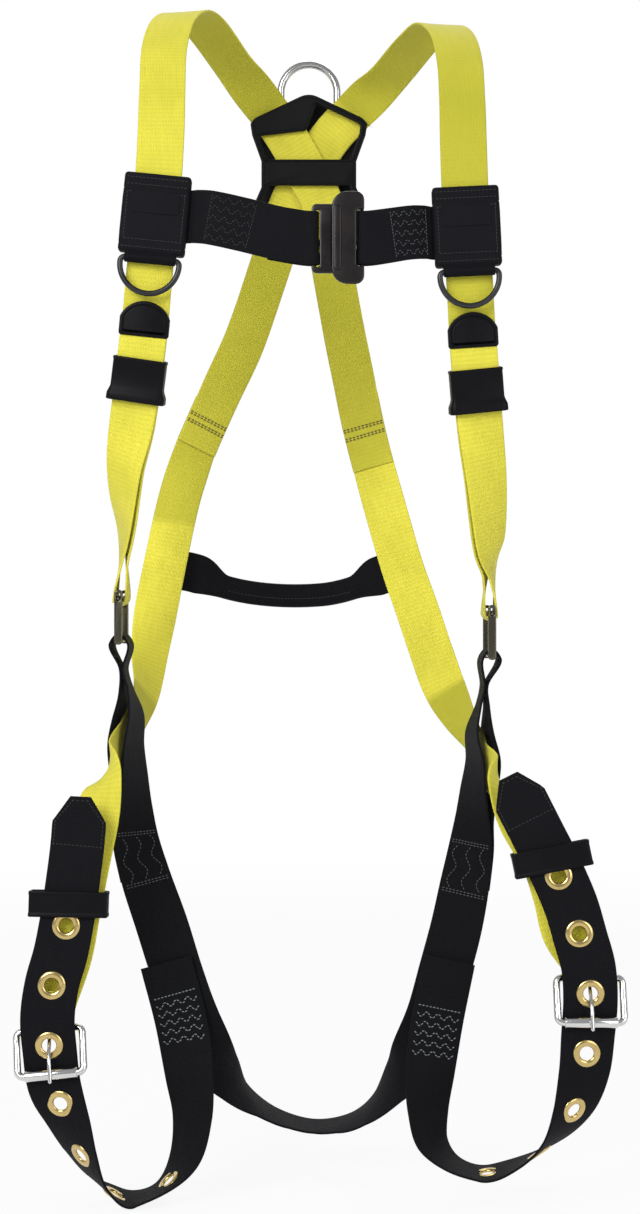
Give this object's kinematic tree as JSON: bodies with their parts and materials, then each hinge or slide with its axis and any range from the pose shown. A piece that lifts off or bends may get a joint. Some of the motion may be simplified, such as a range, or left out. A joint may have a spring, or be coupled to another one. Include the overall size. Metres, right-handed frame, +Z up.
{
  "type": "safety harness",
  "caption": "Full-body safety harness: yellow webbing over the shoulders and back, black chest, seat and leg straps with tongue buckles, and a D-ring between the shoulder blades.",
  "frame": {"origin": "between the crowns of the two shoulder straps, where the wearer's shoulders carry the harness", "axes": "+Z up, -Y the way the wearer faces, -X the wearer's right side"},
  "size_m": [0.5762, 0.3122, 1.1783],
  "materials": {
    "yellow_webbing": "ribbed high-visibility webbing",
    "black_webbing": "ribbed black webbing",
    "black_cover": "coated woven cover",
    "black_pad": "moulded matt",
    "black_plastic": "moulded satin",
    "brass": "polished",
    "dark_steel": "dark coating",
    "forged_steel": "plated",
    "bright_steel": "bright plated"
  },
  "bodies": {
    "harness": {"right_shoulder_strap": "yellow_webbing", "left_shoulder_strap": "yellow_webbing", "right_seat_strap": "yellow_webbing", "left_seat_strap": "yellow_webbing", "sub_pelvic_strap": "black_webbing", "right_leg_strap": "black_webbing", "left_leg_strap": "black_webbing", "lumbar_strap": "black_webbing", "right_chest_strap": "black_webbing", "left_chest_strap": "black_webbing", "right_chest_cover": "black_cover", "left_chest_cover": "black_cover", "right_ring_loop": "black_webbing", "left_ring_loop": "black_webbing", "right_end_tab": "black_plastic", "left_end_tab": "black_plastic", "dorsal_pad": "black_pad", "dorsal_back_plate": "black_pad", "dorsal_ring_loop": "black_webbing", "right_hip_buckle": "bright_steel", "left_hip_buckle": "bright_steel", "right_leg_buckle": "bright_steel", "left_leg_buckle": "bright_steel", "right_grommets": "brass", "left_grommets": "brass", "chest_buckle_frame": "dark_steel"},
    "dorsal_d_ring": {"dorsal_d_ring": "forged_steel"},
    "chest_buckle_plate": {"chest_buckle_plate": "dark_steel"},
    "right_lanyard_ring": {"right_lanyard_ring": "black_plastic"},
    "right_tail_keeper": {"right_tail_keeper": "black_plastic"},
    "right_hip_buckle_bar": {"right_hip_buckle_bar": "bright_steel"},
    "right_leg_buckle_roller": {"right_leg_buckle_roller": "bright_steel"},
    "right_leg_buckle_tongue": {"right_leg_buckle_tongue": "bright_steel"},
    "right_leg_keeper": {"right_leg_keeper": "black_plastic"},
    "left_lanyard_ring": {"left_lanyard_ring": "black_plastic"},
    "left_tail_keeper": {"left_tail_keeper": "black_plastic"},
    "left_hip_buckle_bar": {"left_hip_buckle_bar": "bright_steel"},
    "left_leg_buckle_roller": {"left_leg_buckle_roller": "bright_steel"},
    "left_leg_buckle_tongue": {"left_leg_buckle_tongue": "bright_steel"},
    "left_leg_keeper": {"left_leg_keeper": "black_plastic"}
  },
  "joints": [
    {"name": "dorsal_ring_tilt", "type": "hinge", "parent": "harness", "child": "dorsal_d_ring", "pos_m": [-0.004, 0.13675, -0.098], "axis": [-1, 0, 0], "range_deg": [0, 150]},
    {"name": "chest_plate_tilt", "type": "hinge", "parent": "harness", "child": "chest_buckle_plate", "pos_m": [0.048, -0.124, -0.254], "axis": [0, 0, 1], "range_deg": [0, 60]},
    {"name": "right_lanyard_ring_swing", "type": "hinge", "parent": "harness", "child": "right_lanyard_ring", "pos_m": [-0.15415, -0.11725, -0.27192], "axis": [-0.9952, 0.0017, 0.0975], "range_deg": [0, 100]},
    {"name": "right_tail_keeper_slide", "type": "slide", "parent": "harness", "child": "right_tail_keeper", "axis": [0.1377, -0.1721, 0.9754], "range_m": [0, 0.014]},
    {"name": "right_hip_bar_slide", "type": "slide", "parent": "harness", "child": "right_hip_buckle_bar", "axis": [0, 0, 1], "range_m": [0, 0.004]},
    {"name": "right_roller_turn", "type": "hinge", "parent": "harness", "child": "right_leg_buckle_roller", "pos_m": [-0.24318, -0.1563, -1.04034], "axis": [0.9956, 0.0004, 0.0934], "continuous": true},
    {"name": "right_tongue_lift", "type": "hinge", "parent": "harness", "child": "right_leg_buckle_tongue", "pos_m": [-0.24683, -0.1415, -1.00152], "axis": [-0.9956, -0.0004, -0.0934], "range_deg": [0, 12]},
    {"name": "right_leg_keeper_slide", "type": "slide", "parent": "harness", "child": "right_leg_keeper", "axis": [0.141, 0.0786, 0.9869], "range_m": [0, 0.01]},
    {"name": "left_lanyard_ring_swing", "type": "hinge", "parent": "harness", "child": "left_lanyard_ring", "pos_m": [0.15049, -0.1172, -0.28358], "axis": [-0.9989, -0.0008, -0.0478], "range_deg": [0, 100]},
    {"name": "left_tail_keeper_slide", "type": "slide", "parent": "harness", "child": "left_tail_keeper", "axis": [-0.0923, -0.173, 0.9806], "range_m": [0, 0.014]},
    {"name": "left_hip_bar_slide", "type": "slide", "parent": "harness", "child": "left_hip_buckle_bar", "axis": [0, 0, 1], "range_m": [0, 0.004]},
    {"name": "left_roller_turn", "type": "hinge", "parent": "harness", "child": "left_leg_buckle_roller", "pos_m": [0.261, -0.1586, -0.99133], "axis": [1, 0, 0], "continuous": true},
    {"name": "left_tongue_lift", "type": "hinge", "parent": "harness", "child": "left_leg_buckle_tongue", "pos_m": [0.261, -0.1432, -0.95257], "axis": [-1, 0, 0], "range_deg": [0, 12]},
    {"name": "left_leg_keeper_slide", "type": "slide", "parent": "harness", "child": "left_leg_keeper", "axis": [-0.441, 0.1018, 0.8917], "range_m": [0, 0.01]}
  ]
}
